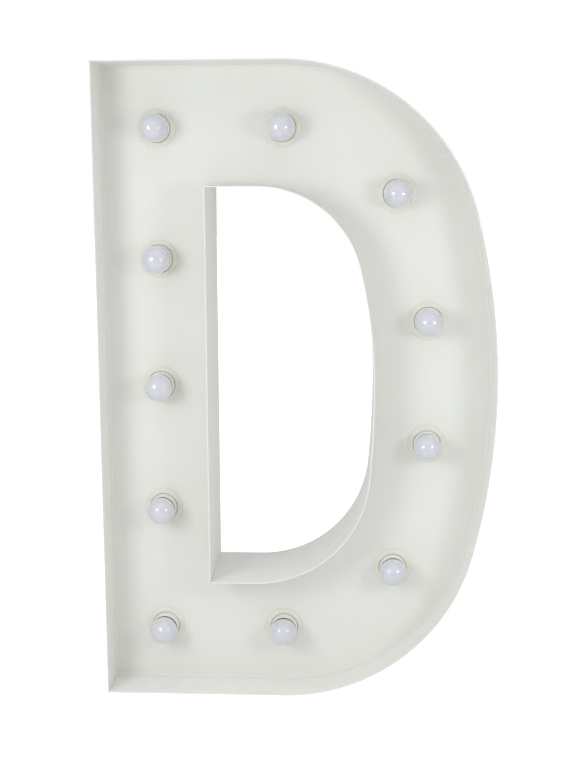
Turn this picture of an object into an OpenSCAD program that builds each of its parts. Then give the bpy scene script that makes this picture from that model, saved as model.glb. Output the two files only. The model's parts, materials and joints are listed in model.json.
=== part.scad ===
// Light-up letter D: a free-standing sheet-metal channel letter with a recessed face panel,
// round bulbs in lampholders, and a closed wiring space between the panel and a rear cover.
// The front faces -Y, +Z is up, and the origin is at the middle of the underside.
// "Depth" is measured from the front rim towards the back.

/* [Letter] */
// Height of the letter
letter_h = 914; // [880:1:960]
// Width of the letter
letter_w = 566; // [550:1:620]
// Depth from the front rim to the back edge
letter_d = 152; // [148:1:190]
// Thickness of the sheet-metal walls
sheet_t = 1.5; // [1:0.1:2.5]
// Radius of the two shoulders of the bowl
shoulder_r = 283; // [260:1:310]
// Radius of the long side of the bowl
side_r = 958; // [850:1:1100]

/* [Counter] */
// Width of the stem, from the left face to the counter
stem_w = 156; // [145:1:165]
// Height of the top bar, above the counter
top_bar_h = 172; // [160:1:190]
// Height of the bottom bar, below the counter
bottom_bar_h = 173; // [160:1:190]
// Width of the bowl beside the counter
bowl_stroke = 174; // [160:1:190]
// Radius of the counter's top shoulder
counter_top_r = 148; // [120:1:160]
// Radius of the counter's bottom shoulder
counter_bottom_r = 166; // [130:1:175]
// Radius of the counter's side above the middle
counter_side_top_r = 721; // [650:1:900]
// Radius of the counter's side below the middle
counter_side_bottom_r = 1435; // [1100:1:1600]

/* [Face panel] */
// Depth of the panel's front behind the front rim
recess_d = 65; // [60:0.5:68]
// Thickness of the face panel
panel_t = 3; // [2:0.1:4]
// Clearance round the face panel
panel_gap = 0.2; // [0.1:0.1:0.5]

/* [Cleats] */
// Length of a cleat's two legs
cleat_leg = 16; // [14:0.5:20]
// Width of a cleat along its wall
cleat_w = 20; // [14:1:22]
// Thickness of a cleat
cleat_t = 1.2; // [0.8:0.1:2]
// Gap between a flat cleat and its wall, where the wall is bent
cleat_gap = 0.3; // [0.25:0.05:0.5]

/* [Rear cover] */
// Depth of the cover's back face in front of the back edge
cover_recess = 8; // [7:0.5:12]
// Thickness of the rear cover
cover_t = 3; // [2:0.1:4]
// Clearance round the rear cover
cover_gap = 0.5; // [0.3:0.1:1]
// Distance of the cover screws from the letter's faces
screw_edge = 10; // [9:0.5:12]
// Distance of the end screws from the ends of a straight edge
screw_end = 45; // [30:1:60]
// Cover screws along the stem
stem_screws = 5; // [3:1:7]
// Diameter of the screws
screw_dia = 4; // [3:0.5:5]
// Diameter of the screw heads
screw_head_dia = 8; // [7:0.5:9]
// Height of the screw heads
screw_head_h = 2.6; // [2:0.1:3]
// Length of the screws under the head
screw_len = 12; // [10:0.5:14]
// Diameter of the weld nuts
nut_dia = 9; // [8:0.5:10]
// Height of the weld nuts
nut_h = 5; // [4:0.5:6]
// Radial clearance of the screws in the nuts
thread_gap = 0.05; // [0.02:0.01:0.1]
// Radial clearance of the screws in plain holes
screw_hole_gap = 0.3; // [0.2:0.1:0.5]

/* [Bulb places] */
// Distance of the stem's bulbs from the left face
stem_bulb_x = 80.5; // [76:0.5:88]
// Distance of the top bar's bulbs from the top face
top_bulb_edge = 89.5; // [80:0.5:95]
// Distance of the bottom bar's bulbs from the underside
bottom_bulb_edge = 84.5; // [80:0.5:95]
// Distance of the bars' inner bulbs from the left face
bar_bulb_x = 260; // [245:1:275]
// Distance of the bowl's bulbs from its outer face
bowl_bulb_edge = 90.5; // [80:0.5:96]
// Angle of the top shoulder's bulb above the level
top_bulb_angle = 31.5; // [28:0.5:38]
// Angle of the bottom shoulder's bulb below the level
bottom_bulb_angle = 32.5; // [28:0.5:38]
// Height between the two side bulbs
side_bulb_pitch = 181.5; // [160:0.5:200]
// Height of the side pair's middle above the letter's middle
side_bulb_lift = 1.5; // [0:0.5:8]

/* [Lampholder] */
// Diameter of the lampholder's sleeve
sleeve_dia = 39.6; // [38:0.1:42]
// Inner diameter of the sleeve behind its cup
mouth_dia = 30.4; // [29.5:0.1:32]
// Height of the mouth in front of the panel
mouth_proud = 18.5; // [14:0.5:18.5]
// Chamfer of the mouth's rim
mouth_chamfer = 0.4; // [0.2:0.1:0.5]
// Inner diameter of the cup in the mouth
cup_dia = 36.8; // [36.6:0.1:37.4]
// Depth of the cup in the mouth
cup_d = 13; // [10:0.5:14]
// Diameter of the shoulder behind the panel
holder_flange_dia = 47; // [44:0.5:54]
// Thickness of the shoulder behind the panel
holder_flange_t = 3; // [2:0.5:5]
// Outer diameter of the shade ring
ring_dia = 56; // [52:0.5:62]
// Diameter of the shade ring's raised lip
ring_lip_dia = 45; // [43:0.5:48]
// Thickness of the shade ring at its edge
ring_edge_t = 1.2; // [0.8:0.1:2]
// Height of the shade ring at its lip
ring_h = 3.6; // [2.5:0.1:4.5]
// Clearance of the shade ring and the panel round the sleeve
holder_gap = 0.2; // [0.1:0.05:0.4]
// Depth of the bulb's end contact behind the panel's front
bulb_seat = 26; // [24:0.5:30]
// Thickness of the screw shell
shell_t = 0.7; // [0.4:0.1:1]
// Length of the screw shell
shell_len = 28; // [24:0.5:30]
// Height of the centre contact above the core's floor
tongue_h = 4.6; // [3:0.1:6]
// Thickness of the core's floor and flange together
core_base_t = 6; // [5:0.5:8]
// Thickness of the core's flange
core_flange_t = 3; // [2:0.5:4]
// Clearance between the lampholder's inner pieces
inner_gap = 0.1; // [0.05:0.05:0.2]
// Wall of the lampholder's rear cap
cap_wall = 2.2; // [1.5:0.1:3]
// Overlap of the rear cap on the sleeve
cap_overlap = 6; // [4:0.5:8]
// Inside depth of the rear cap behind the core
cap_room = 15; // [13:0.5:18]
// Width of a terminal
terminal_w = 7; // [6:0.5:7.5]
// Depth of a terminal
terminal_d = 8; // [6:0.5:8]

/* [Bulb] */
// Diameter of the globe
globe_dia = 40; // [38:0.5:40.5]
// Wall of the globe
globe_wall = 1.2; // [0.8:0.1:2]
// Length of the bulb
bulb_len = 74; // [73:0.5:76]
// Length of the screw cap with its end contact
cap_len = 27; // [26:0.5:28]
// Diameter of the neck where it leaves the globe
neck_dia = 28; // [26:0.2:28.6]
// Diameter of the screw cap
cap_dia = 26.2; // [25.6:0.1:26.6]
// Radial clearance of the screw cap in its shell
cap_gap = 0.08; // [0.03:0.01:0.1]
// Pitch of the bulb's thread
thread_pitch = 3.629; // [3.4:0.001:3.8]
// Turns of thread on the screw cap
thread_turns = 5; // [4:1:5]
// Depth of the thread's grooves
thread_depth = 0.8; // [0.5:0.1:1.1]
// Diameter of the end contact
contact_dia = 9.2; // [8:0.1:10]
// Thickness of the end contact
contact_t = 1.5; // [1:0.1:2]
// Gap between the end contact and the lampholder's centre contact
contact_gap = 0.3; // [0.2:0.1:0.5]

/* [Wiring] */
// Diameter of the loop cables
cable_dia = 6; // [5:0.1:7]
// Diameter of the supply leads
lead_dia = 2.8; // [2:0.1:3.2]
// Radial clearance of cables and leads in their holes
cable_gap = 0.3; // [0.2:0.1:0.5]
// Width of the terminal block
block_w = 36; // [30:1:44]
// Height of the terminal block
block_h = 20; // [16:1:24]
// Depth of the terminal block
block_d = 18; // [14:1:22]
// Diameter of the earth stud
stud_dia = 5; // [4:0.5:6]
// Length of the earth stud
stud_len = 14; // [12:0.5:18]
// Diameter of the earth lug
lug_dia = 17; // [15.5:0.5:19]
// Radius of the bends of the loop cables
cable_bend = 12; // [9:0.5:14]
// Radius of the bends of the supply leads
lead_bend = 4; // [3:0.1:5]

/* [Mains inlet] */
// Height of the inlet's middle below the middle of the power group
inlet_drop = 20; // [18:0.5:24]
// Width of the inlet's flange
inlet_flange_w = 50; // [49:0.5:54]
// Height of the inlet's flange
inlet_flange_h = 28; // [26:0.5:30]
// Thickness of the inlet's and the switch's flange
flange_t = 2; // [1.5:0.1:3]
// Spacing of the inlet's screws
inlet_screw_pitch = 40; // [39:0.5:41]
// Width of the inlet's socket
socket_w = 24.6; // [24:0.1:25]
// Height of the inlet's socket
socket_h = 16.8; // [16:0.1:17.5]
// Depth of the inlet's socket
socket_d = 20; // [19:0.5:22]
// Chamfer of the socket's two upper corners
socket_chamfer = 4.5; // [3:0.1:5]
// Wall of the inlet's body
inlet_wall = 1.8; // [1.4:0.1:2.2]
// Width of an inlet pin
pin_w = 2; // [1.8:0.1:2.2]
// Height of an inlet pin
pin_h = 4; // [3.6:0.1:4.4]
// Length of an inlet pin inside the socket
pin_len = 14.5; // [13:0.5:15]
// Spacing of the two outer pins
pin_pitch = 14; // [13.5:0.1:14.5]
// Height of the middle pin above the outer ones
pin_stagger = 4; // [3.5:0.1:4.5]
// Length of the blades behind the inlet and the switch
blade_len = 10; // [8:0.5:12]

/* [Rocker switch] */
// Height of the switch's middle above the middle of the power group
switch_rise = 17; // [16:0.5:22]
// Length of the rocker
rocker_len = 25; // [22:0.5:26]
// Width of the rocker
rocker_w = 17; // [15:0.5:18]
// Thickness of the rocker at its middle, in front of its pivot
rocker_crown = 2.2; // [1.8:0.1:2.8]
// Thickness of the rocker behind its pivot
rocker_root = 5; // [4:0.1:6]
// Whole tilt of the rocker
rocker_tilt = 20; // [14:1:22]
// Diameter of the rocker's pivots
pivot_dia = 3; // [2.4:0.1:3.4]
// Length of each pivot
pivot_len = 1.4; // [1:0.1:1.6]
// Radial clearance of the pivots
pivot_gap = 0.06; // [0.03:0.01:0.1]
// Clearance round the rocker
rocker_gap = 0.35; // [0.3:0.05:0.5]
// Wall of the switch's body
switch_wall = 1.8; // [1.7:0.1:2.5]
// Depth of the switch's body behind the cover's back face
switch_d = 18; // [16:0.5:22]
// Width of the switch's flange round its body
switch_lip = 2; // [1.5:0.1:2.5]
// Clearance of the inlet's and the switch's body in the cover
cutout_gap = 0.2; // [0.1:0.1:0.4]

/* [Hidden] */
$fn = 64;
arc_fn = 720;
eps = 1;

// Paints
white_paint = [0.9, 0.9, 0.88];
cream = [0.87, 0.87, 0.8];
opal = [0.86, 0.86, 0.9];
brass = [0.75, 0.6, 0.3];
steel = [0.7, 0.7, 0.72];
black = [0.1, 0.1, 0.11];

// The bowl: the distance from the start of a shoulder to the far side, and the angle where it ends
function bowl_reach(r, side, h) = side - sqrt(pow(side - r, 2) - pow(h - r, 2));
function shoulder_end(r, side, h) = asin((h - r) / (side - r));

// Heights and places on the letter's face, x from the left face and z from the underside
mid_z = letter_h / 2;
bowl_x = letter_w - bowl_reach(shoulder_r, side_r, mid_z);
side_x = letter_w - side_r;
counter_right = letter_w - bowl_stroke;
counter_low = bottom_bar_h;
counter_high = letter_h - top_bar_h;
counter_top_x = counter_right - bowl_reach(counter_top_r, counter_side_top_r, counter_high - mid_z);
counter_bottom_x = counter_right - bowl_reach(counter_bottom_r, counter_side_bottom_r, mid_z - counter_low);

// Depths of the panel and the cover
panel_back = recess_d + panel_t;
cover_back = letter_d - cover_recess;
cover_front = cover_back - cover_t;

// Bulb axes, clockwise from the top left
bulb_ring_r = shoulder_r - bowl_bulb_edge;
bulb_side_r = side_r - bowl_bulb_edge;
top_bulb = bulb_ring_r * [cos(top_bulb_angle), sin(top_bulb_angle)];
bottom_bulb = bulb_ring_r * [cos(bottom_bulb_angle), sin(bottom_bulb_angle)];
side_bulb_z = [side_bulb_lift + side_bulb_pitch / 2, side_bulb_lift - side_bulb_pitch / 2];
bar_z = [letter_h - top_bulb_edge, bottom_bulb_edge];
stem_pitch = (bar_z[0] - bar_z[1]) / 4;
bulbs = concat(
    [[stem_bulb_x, bar_z[0]], [bar_bulb_x, bar_z[0]]],
    [[bowl_x + top_bulb[0], letter_h - shoulder_r + top_bulb[1]]],
    [for (z = side_bulb_z) [side_x + sqrt(pow(bulb_side_r, 2) - pow(z, 2)), mid_z + z]],
    [[bowl_x + bottom_bulb[0], shoulder_r - bottom_bulb[1]]],
    [[bar_bulb_x, bar_z[1]], [stem_bulb_x, bar_z[1]]],
    [for (k = [1:3]) [stem_bulb_x, bar_z[1] + k * stem_pitch]]
);
last_bulb = len(bulbs) - 1;
// The cable loop is open between the two stem bulbs that the terminal block feeds
block_bulbs = [7, 8];
power_x = stem_bulb_x;
power_z = (bulbs[block_bulbs[0]][1] + bulbs[block_bulbs[1]][1]) / 2;

// Depths and radii in the lampholder
sleeve_r = sleeve_dia / 2;
mouth_r = mouth_dia / 2;
mouth_front = recess_d - mouth_proud;
cup_r = cup_dia / 2;
cup_floor = mouth_front + cup_d;
contact_end = recess_d + bulb_seat;
core_floor = contact_end + contact_gap + tongue_h;
core_back = core_floor + core_base_t;
sleeve_back = core_back - core_flange_t;
core_r = mouth_r - inner_gap;
core_flange_r = sleeve_r - inner_gap;
cap_front = sleeve_back - cap_overlap;
cap_inner_r = sleeve_r + inner_gap;
cap_outer_r = cap_inner_r + cap_wall;
cap_room_r = core_flange_r - cap_wall;
cap_back = core_back + inner_gap + cap_room + cap_wall;
cable_depth = core_back + terminal_d;
shell_inner_r = cap_dia / 2 + cap_gap;
shell_outer_r = shell_inner_r + shell_t;
shell_front = core_floor - shell_len;
tongue_t = 0.9;
tongue_head_r = 4.2;
tongue_stem_r = 1.8;
tongue_tail = 2;
cable_end = 1;
cable_inset = cap_room_r - cable_end;

// Depths and radii of a bulb
globe_r = globe_dia / 2;
neck_r = neck_dia / 2;
tip_depth = contact_end - bulb_len;
globe_depth = tip_depth + globe_r;
cap_start = contact_end - cap_len;
neck_lip = 0.3;
neck_end_r = cap_dia / 2 + neck_lip;
flare_share = 0.75;
neck_slope = 2;
flare_r = globe_r * flare_share;
flare_depth = globe_depth + sqrt(pow(globe_r, 2) - pow(flare_r, 2));
neck_depth = flare_depth + (flare_r - neck_r) * neck_slope;
thread_r = cap_dia / 2;
thread_root_r = thread_r - thread_depth;
cap_collar = 1.5;
thread_start = cap_start + cap_collar;
insulator_end = contact_end - contact_t;
insulator_start = thread_start + thread_turns * thread_pitch;
plug_len = 4;
contact_stem_r = 2;
contact_stem_len = 2;
contact_stem_end = insulator_end - contact_stem_len;

// Places of the inlet and the switch
inlet_z = power_z - inlet_drop;
switch_z = power_z + switch_rise;
flange_back = cover_back + flange_t;
inlet_body_w = socket_w + 2 * inlet_wall;
inlet_body_h = socket_h + 2 * inlet_wall;
socket_floor = flange_back - socket_d;
inlet_base_t = 4;
inlet_front = socket_floor - inlet_base_t;
blade_front = inlet_front - blade_len;
pin_low = inlet_z - pin_stagger / 2;
pin_high = inlet_z + pin_stagger / 2;
pin_fit = 0.05;
pin_places = [[-pin_pitch / 2, -pin_stagger / 2], [0, pin_stagger / 2], [pin_pitch / 2, -pin_stagger / 2]];
rocker_round = 0.75;
rocker_r = rocker_len / 2 + rocker_round;
rocker_rise = tan(rocker_tilt / 2);
pivot_proud = 0.5;
pivot_depth = cover_back + pivot_proud;
switch_room_h = 2 * (rocker_r + rocker_gap);
switch_room_w = rocker_w + 2 * rocker_gap;
switch_body_h = switch_room_h + 2 * switch_wall;
switch_body_w = switch_room_w + 2 * switch_wall;
switch_front = cover_back - switch_d;
switch_floor = pivot_depth - rocker_root - rocker_r * sin(rocker_tilt / 2) - rocker_gap;
lead_x = pin_pitch / 2;
lead_room = 8;
lead_step = 8;
switch_lead_depth = blade_front - lead_room;
block_lead_depth = switch_lead_depth - lead_step;
switch_blade_z = 8;
blade_w = 0.8;
blade_h = 6.3;

// Screws of the cover, on the letter's face
screw_r = screw_dia / 2;
screw_hole_r = screw_r + screw_hole_gap;
function on_arc(centre, r, angle) = [centre[0] + r * cos(angle), centre[1] + r * sin(angle)];

// Cleat places: a point on a wall's outer face, and the direction from there into the channel
shoulder_cleat_angles = [62, 28];
counter_cleat_angle = 45;
stem_cleat_pitch = (letter_h - 2 * screw_end) / (stem_screws - 1);
shoulder_centres = [[bowl_x, letter_h - shoulder_r], [bowl_x, shoulder_r]];
counter_centres = [
    [counter_top_x, counter_high - counter_top_r],
    [counter_bottom_x, counter_low + counter_bottom_r]
];
cleat_places = concat(
    [for (k = [0:stem_screws - 1]) [[0, screw_end + k * stem_cleat_pitch], 0]],
    [[[stem_w, 0], 90], [[stem_w, letter_h], -90]],
    [for (a = shoulder_cleat_angles) [on_arc(shoulder_centres[0], shoulder_r, a), a + 180]],
    [for (a = shoulder_cleat_angles) [on_arc(shoulder_centres[1], shoulder_r, -a), 180 - a]],
    [[[letter_w, mid_z], 180]],
    [for (z = [counter_low + screw_end, mid_z, counter_high - screw_end]) [[stem_w, z], 180]],
    [[on_arc(counter_centres[0], counter_top_r, counter_cleat_angle), counter_cleat_angle]],
    [[on_arc(counter_centres[1], counter_bottom_r, -counter_cleat_angle), -counter_cleat_angle]],
    [[[counter_right, mid_z], 0]]
);
cover_screw_places = [for (c = cleat_places) on_arc(c[0], screw_edge, c[1])];
inlet_screw_places = [for (s = [-1, 1]) [power_x + s * inlet_screw_pitch / 2, inlet_z]];

// Earth stud on the stem's wall
stud_room = 12;
stud_depth = blade_front - stud_room;
lug_r = lug_dia / 2;
lug_edge = 0.4;
lug_offset = lug_r - lead_dia / 2 - lug_edge;
stud_z = pin_high - lug_offset;
stud_nut_r = 4.6;
stud_nut_h = 4;
lug_t = 1.2;
lug_x = sheet_t + stud_nut_h + thread_gap;

// Names
case_nodes = [
    "stem_return", "bowl_return", "counter_stem_return", "counter_bowl_return", "face_panel",
    "panel_cleats", "rear_cleats", "rear_cover", "cover_screws", "cover_nuts",
    "shade_rings", "lampholder_sleeves", "lampholder_cores", "lampholder_shells",
    "lampholder_tongues", "lampholder_terminals", "lampholder_caps",
    "loop_cables", "terminal_block", "supply_leads", "earth_stud",
    "inlet_body", "inlet_pins", "switch_frame", "switch_blades", "switch_rocker"
];
function bulb_name(i, piece) = str("bulb_", i < 9 ? "0" : "", i + 1, "_", piece);
bulb_nodes = [for (i = [0:last_bulb]) for (piece = ["globe", "cap", "contact"]) bulb_name(i, piece)];

// Flat outlines on the letter's face

// Upper half of a D above its middle line, with a shoulder of radius r and a side of radius side
module half_d(left, right, h, r, side) {
    start = right - bowl_reach(r, side, h);
    turn = shoulder_end(r, side, h);
    centre = [start, h - r];
    tangent = on_arc(centre, r, turn);
    polygon([[left, -eps], [tangent[0], -eps], tangent, [start, h], [left, h]]);
    intersection() {
        translate(centre) circle(r, $fn = arc_fn);
        polygon([centre, on_arc(centre, 2 * r, turn), centre + [2 * r, 2 * r], centre + [0, 2 * r]]);
    }
    intersection() {
        translate([right - side, 0]) circle(side, $fn = arc_fn);
        polygon([[start, 0], [right + eps, 0], [right + eps, tangent[1]], tangent]);
    }
}

// The letter's outer outline, drawn in from its faces by inset
module letter_outline(inset) {
    h = mid_z - inset;
    for (flip = [0, 1])
        translate([0, mid_z])
            mirror([0, flip])
                half_d(inset, letter_w - inset, h, shoulder_r - inset, side_r - inset);
}

// The counter's outline, grown out from its faces by grow
module counter_outline(grow) {
    right = counter_right + grow;
    left = stem_w - grow;
    high = counter_high - mid_z + grow;
    low = mid_z - counter_low + grow;
    translate([0, mid_z]) {
        half_d(left, right, high, counter_top_r + grow, counter_side_top_r + grow);
        mirror([0, 1])
            half_d(left, right, low, counter_bottom_r + grow, counter_side_bottom_r + grow);
    }
}

// Places in the letter

// A flat outline made solid between two depths
module slab(front, back) {
    translate([-letter_w / 2, back - letter_d / 2, 0])
        rotate([90, 0, 0])
            linear_extrude(back - front)
                children();
}

// A place on the letter's face, with depth along +Y
module at_place(p) {
    translate([p[0] - letter_w / 2, -letter_d / 2, p[1]])
        children();
}

// A turned piece, from points of radius and depth
module turned(points) {
    rotate([-90, 0, 0])
        rotate_extrude()
            polygon(points);
}

// A round bar along the depth
module bar(r, front, back) {
    translate([0, front, 0])
        rotate([-90, 0, 0])
            cylinder(r = r, h = back - front);
}

// A block between two depths, centred on its place
module block(w, h, front, back) {
    translate([-w / 2, front, -h / 2])
        cube([w, back - front, h]);
}

// A cable along straight runs, with a round bend at each right-angled corner
module run(points, r, bend) {
    last = len(points) - 2;
    way = [for (k = [0:last]) (points[k + 1] - points[k]) / norm(points[k + 1] - points[k])];
    for (k = [0:last]) {
        start = points[k] + (k > 0 ? bend : 0) * way[k];
        end = points[k + 1] - (k < last ? bend : 0) * way[k];
        translate(start)
            rotate([0, acos(way[k][2]), atan2(way[k][1], way[k][0])])
                cylinder(r = r, h = norm(end - start));
        if (k < last) {
            centre = end + bend * way[k + 1];
            x = -way[k + 1];
            y = way[k];
            z = cross(x, y);
            multmatrix([
                [x[0], y[0], z[0], centre[0]],
                [x[1], y[1], z[1], centre[1]],
                [x[2], y[2], z[2], centre[2]]
            ])
                rotate_extrude(angle = 90)
                    translate([bend, 0])
                        circle(r);
        }
    }
}

// Walls

module stem_return() {
    color(white_paint)
        slab(0, letter_d)
            square([sheet_t, letter_h]);
}

module bowl_return() {
    color(white_paint)
        slab(0, letter_d)
            difference() {
                letter_outline(0);
                letter_outline(sheet_t);
                translate([-eps, -eps])
                    square([sheet_t + eps, letter_h + 2 * eps]);
            }
}

module counter_stem_return() {
    color(white_paint)
        slab(0, letter_d)
            translate([stem_w - sheet_t, counter_low - sheet_t])
                square([sheet_t, counter_high - counter_low + 2 * sheet_t]);
}

module counter_bowl_return() {
    color(white_paint)
        slab(0, letter_d)
            difference() {
                counter_outline(sheet_t);
                counter_outline(0);
                translate([stem_w - sheet_t - eps, counter_low - sheet_t - eps])
                    square([sheet_t + eps, counter_high - counter_low + 2 * (sheet_t + eps)]);
            }
}

// Panel, cleats and cover

module face_panel() {
    color(white_paint)
        difference() {
            slab(recess_d, panel_back)
                difference() {
                    letter_outline(sheet_t + panel_gap);
                    counter_outline(sheet_t + panel_gap);
                }
            for (p = bulbs)
                at_place(p)
                    bar(sleeve_r + holder_gap, recess_d - eps, panel_back + eps);
        }
}

// An angle cleat at a place on a wall: its leg runs along the wall, its flange lies at one end of the leg
module cleat(c, front, back, flange_front) {
    start = sheet_t + cleat_gap;
    at_place(c[0])
        rotate([0, -c[1], 0]) {
            translate([start, front, -cleat_w / 2])
                cube([cleat_t, back - front, cleat_w]);
            translate([start, flange_front, -cleat_w / 2])
                cube([cleat_leg, cleat_t, cleat_w]);
        }
}

module panel_cleats() {
    color(steel)
        for (c = cleat_places)
            cleat(c, panel_back, panel_back + cleat_leg, panel_back);
}

module rear_cleats() {
    color(steel)
        for (c = cleat_places)
            difference() {
                cleat(c, cover_front - cleat_leg, cover_front, cover_front - cleat_t);
                at_place(on_arc(c[0], screw_edge, c[1]))
                    bar(screw_hole_r, cover_front - cleat_t - eps, cover_front + eps);
            }
}

module rear_cover() {
    color(white_paint)
        difference() {
            slab(cover_front, cover_back)
                difference() {
                    letter_outline(sheet_t + cover_gap);
                    counter_outline(sheet_t + cover_gap);
                }
            for (p = concat(cover_screw_places, inlet_screw_places))
                at_place(p)
                    bar(screw_hole_r, cover_front - eps, cover_back + eps);
            at_place([power_x, inlet_z])
                block(
                    inlet_body_w + 2 * cutout_gap, inlet_body_h + 2 * cutout_gap,
                    cover_front - eps, cover_back + eps
                );
            at_place([power_x, switch_z])
                block(
                    switch_body_w + 2 * cutout_gap, switch_body_h + 2 * cutout_gap,
                    cover_front - eps, cover_back + eps
                );
        }
}

// A pan-head screw whose head seats at a depth, with a cross recess
module screw(seat) {
    slot_w = screw_head_dia / 8;
    slot_len = screw_head_dia / 2;
    slot_d = screw_head_h / 2;
    top = seat + screw_head_h;
    difference() {
        turned([
            [0, seat - screw_len],
            [screw_r, seat - screw_len],
            [screw_r, seat],
            [screw_head_dia / 2, seat],
            [screw_head_dia / 2, seat + screw_head_h / 2],
            [screw_head_dia / 3, top],
            [0, top]
        ]);
        block(slot_w, slot_len, top - slot_d, top + eps);
        block(slot_len, slot_w, top - slot_d, top + eps);
    }
}

module cover_screws() {
    color(steel) {
        for (p = cover_screw_places)
            at_place(p)
                screw(cover_back);
        for (p = inlet_screw_places)
            at_place(p)
                screw(flange_back);
    }
}

// A round weld nut whose flat side seats at a depth
module weld_nut(seat) {
    difference() {
        bar(nut_dia / 2, seat - nut_h, seat);
        bar(screw_r + thread_gap, seat - nut_h - eps, seat + eps);
    }
}

module cover_nuts() {
    color(steel) {
        for (p = cover_screw_places)
            at_place(p)
                weld_nut(cover_front - cleat_t);
        for (p = inlet_screw_places)
            at_place(p)
                weld_nut(cover_front);
    }
}

// Lampholders

module shade_rings() {
    inner = sleeve_r + holder_gap;
    color(cream)
        for (p = bulbs)
            at_place(p)
                turned([
                    [inner, recess_d - ring_h],
                    [ring_lip_dia / 2, recess_d - ring_h],
                    [ring_dia / 2, recess_d - ring_edge_t],
                    [ring_dia / 2, recess_d],
                    [inner, recess_d]
                ]);
}

module lampholder_sleeves() {
    color(cream)
        for (p = bulbs)
            at_place(p)
                turned([
                    [mouth_r, cup_floor],
                    [cup_r, cup_floor],
                    [cup_r, mouth_front + mouth_chamfer],
                    [cup_r + mouth_chamfer, mouth_front],
                    [sleeve_r - mouth_chamfer, mouth_front],
                    [sleeve_r, mouth_front + mouth_chamfer],
                    [sleeve_r, panel_back],
                    [holder_flange_dia / 2, panel_back],
                    [holder_flange_dia / 2, panel_back + holder_flange_t],
                    [sleeve_r, panel_back + holder_flange_t],
                    [sleeve_r, sleeve_back],
                    [mouth_r, sleeve_back]
                ]);
}

module lampholder_cores() {
    bore = shell_outer_r + inner_gap;
    hole = tongue_stem_r + inner_gap;
    color(white_paint)
        for (p = bulbs)
            at_place(p)
                turned([
                    [bore, core_floor - shell_len / 3],
                    [core_r, core_floor - shell_len / 3],
                    [core_r, sleeve_back],
                    [core_flange_r, sleeve_back],
                    [core_flange_r, core_back],
                    [hole, core_back],
                    [hole, core_floor],
                    [bore, core_floor]
                ]);
}

module lampholder_shells() {
    color(brass)
        for (p = bulbs)
            at_place(p)
                turned([
                    [shell_inner_r, shell_front],
                    [shell_outer_r, shell_front],
                    [shell_outer_r, core_floor],
                    [shell_inner_r, core_floor]
                ]);
}

module lampholder_tongues() {
    head = contact_end + contact_gap;
    color(brass)
        for (p = bulbs)
            at_place(p)
                turned([
                    [0, head],
                    [tongue_head_r, head],
                    [tongue_head_r, head + tongue_t],
                    [tongue_stem_r, head + tongue_t],
                    [tongue_stem_r, core_back + tongue_tail],
                    [0, core_back + tongue_tail]
                ]);
}

module lampholder_terminals() {
    color(brass)
        for (p = bulbs)
            at_place(p)
                for (s = [-1, 1])
                    translate([s * terminal_w, 0, 0])
                        block(terminal_w, terminal_w, core_back, core_back + terminal_d);
}

// Direction from one bulb to another, as an angle in the letter's face
function toward(i, j) = atan2(bulbs[j][1] - bulbs[i][1], bulbs[j][0] - bulbs[i][0]);
function next_bulb(i) = (i + 1) % len(bulbs);
function previous_bulb(i) = (i + last_bulb) % len(bulbs);

module lampholder_caps() {
    color(cream)
        for (i = [0:last_bulb])
            at_place(bulbs[i])
                difference() {
                    turned([
                        [cap_inner_r, cap_front],
                        [cap_outer_r, cap_front],
                        [cap_outer_r, cap_back - cap_wall],
                        [cap_outer_r - cap_wall, cap_back],
                        [0, cap_back],
                        [0, cap_back - cap_wall],
                        [cap_room_r, cap_back - cap_wall],
                        [cap_room_r, core_back + inner_gap],
                        [cap_inner_r, core_back + inner_gap]
                    ]);
                    for (j = [next_bulb(i), previous_bulb(i)])
                        translate([0, cable_depth, 0])
                            rotate([0, 90 - toward(i, j), 0])
                                translate([0, 0, cap_room_r - eps])
                                    cylinder(r = cable_dia / 2 + cable_gap, h = cap_outer_r);
                }
}

// Wiring

// Straight loop cables between neighbours, and the two cables from the terminal block
module loop_cables() {
    r = cable_dia / 2;
    color(white_paint) {
        for (i = [0:last_bulb])
            if (i != block_bulbs[0])
                at_place(bulbs[i])
                    translate([0, cable_depth, 0])
                        rotate([0, 90 - toward(i, next_bulb(i)), 0])
                            translate([0, 0, cable_inset])
                                cylinder(r = r, h = norm(bulbs[next_bulb(i)] - bulbs[i]) - 2 * cable_inset);
        for (s = [-1, 1])
            at_place([power_x, power_z])
                run([
                    [0, panel_back + block_d / 2, s * block_h / 2],
                    [0, panel_back + block_d / 2, s * (block_h / 2 + 2 * cable_bend)],
                    [0, cable_depth, s * (block_h / 2 + 2 * cable_bend)],
                    [0, cable_depth, s * (stem_pitch / 2 - cable_inset)]
                ], r, cable_bend);
    }
}

module terminal_block() {
    way_r = lead_dia / 2 + cable_gap;
    color(white_paint)
        at_place([power_x, power_z])
            difference() {
                block(block_w, block_h, panel_back, panel_back + block_d);
                for (s = [-1, 1])
                    translate([s * lead_x, 0, 0])
                        bar(way_r, panel_back + block_d / 2, panel_back + block_d + eps);
            }
}

// Leads from the inlet to the switch, from the switch to the terminal block, and to the earth stud
module supply_leads() {
    r = lead_dia / 2;
    color(black)
        at_place([power_x, 0]) {
            for (s = [-lead_x, lead_x]) {
                run([
                    [s, blade_front, pin_low],
                    [s, switch_lead_depth, pin_low],
                    [s, switch_lead_depth, switch_z - switch_blade_z],
                    [s, switch_front - blade_len, switch_z - switch_blade_z]
                ], r, lead_bend);
                run([
                    [s, switch_front - blade_len, switch_z + switch_blade_z],
                    [s, block_lead_depth, switch_z + switch_blade_z],
                    [s, block_lead_depth, power_z],
                    [s, panel_back + block_d / 2, power_z]
                ], r, lead_bend);
            }
            run([
                [0, blade_front, pin_high],
                [0, stud_depth, pin_high],
                [lug_x + lug_t - power_x, stud_depth, pin_high]
            ], r, lead_bend);
        }
}

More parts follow.
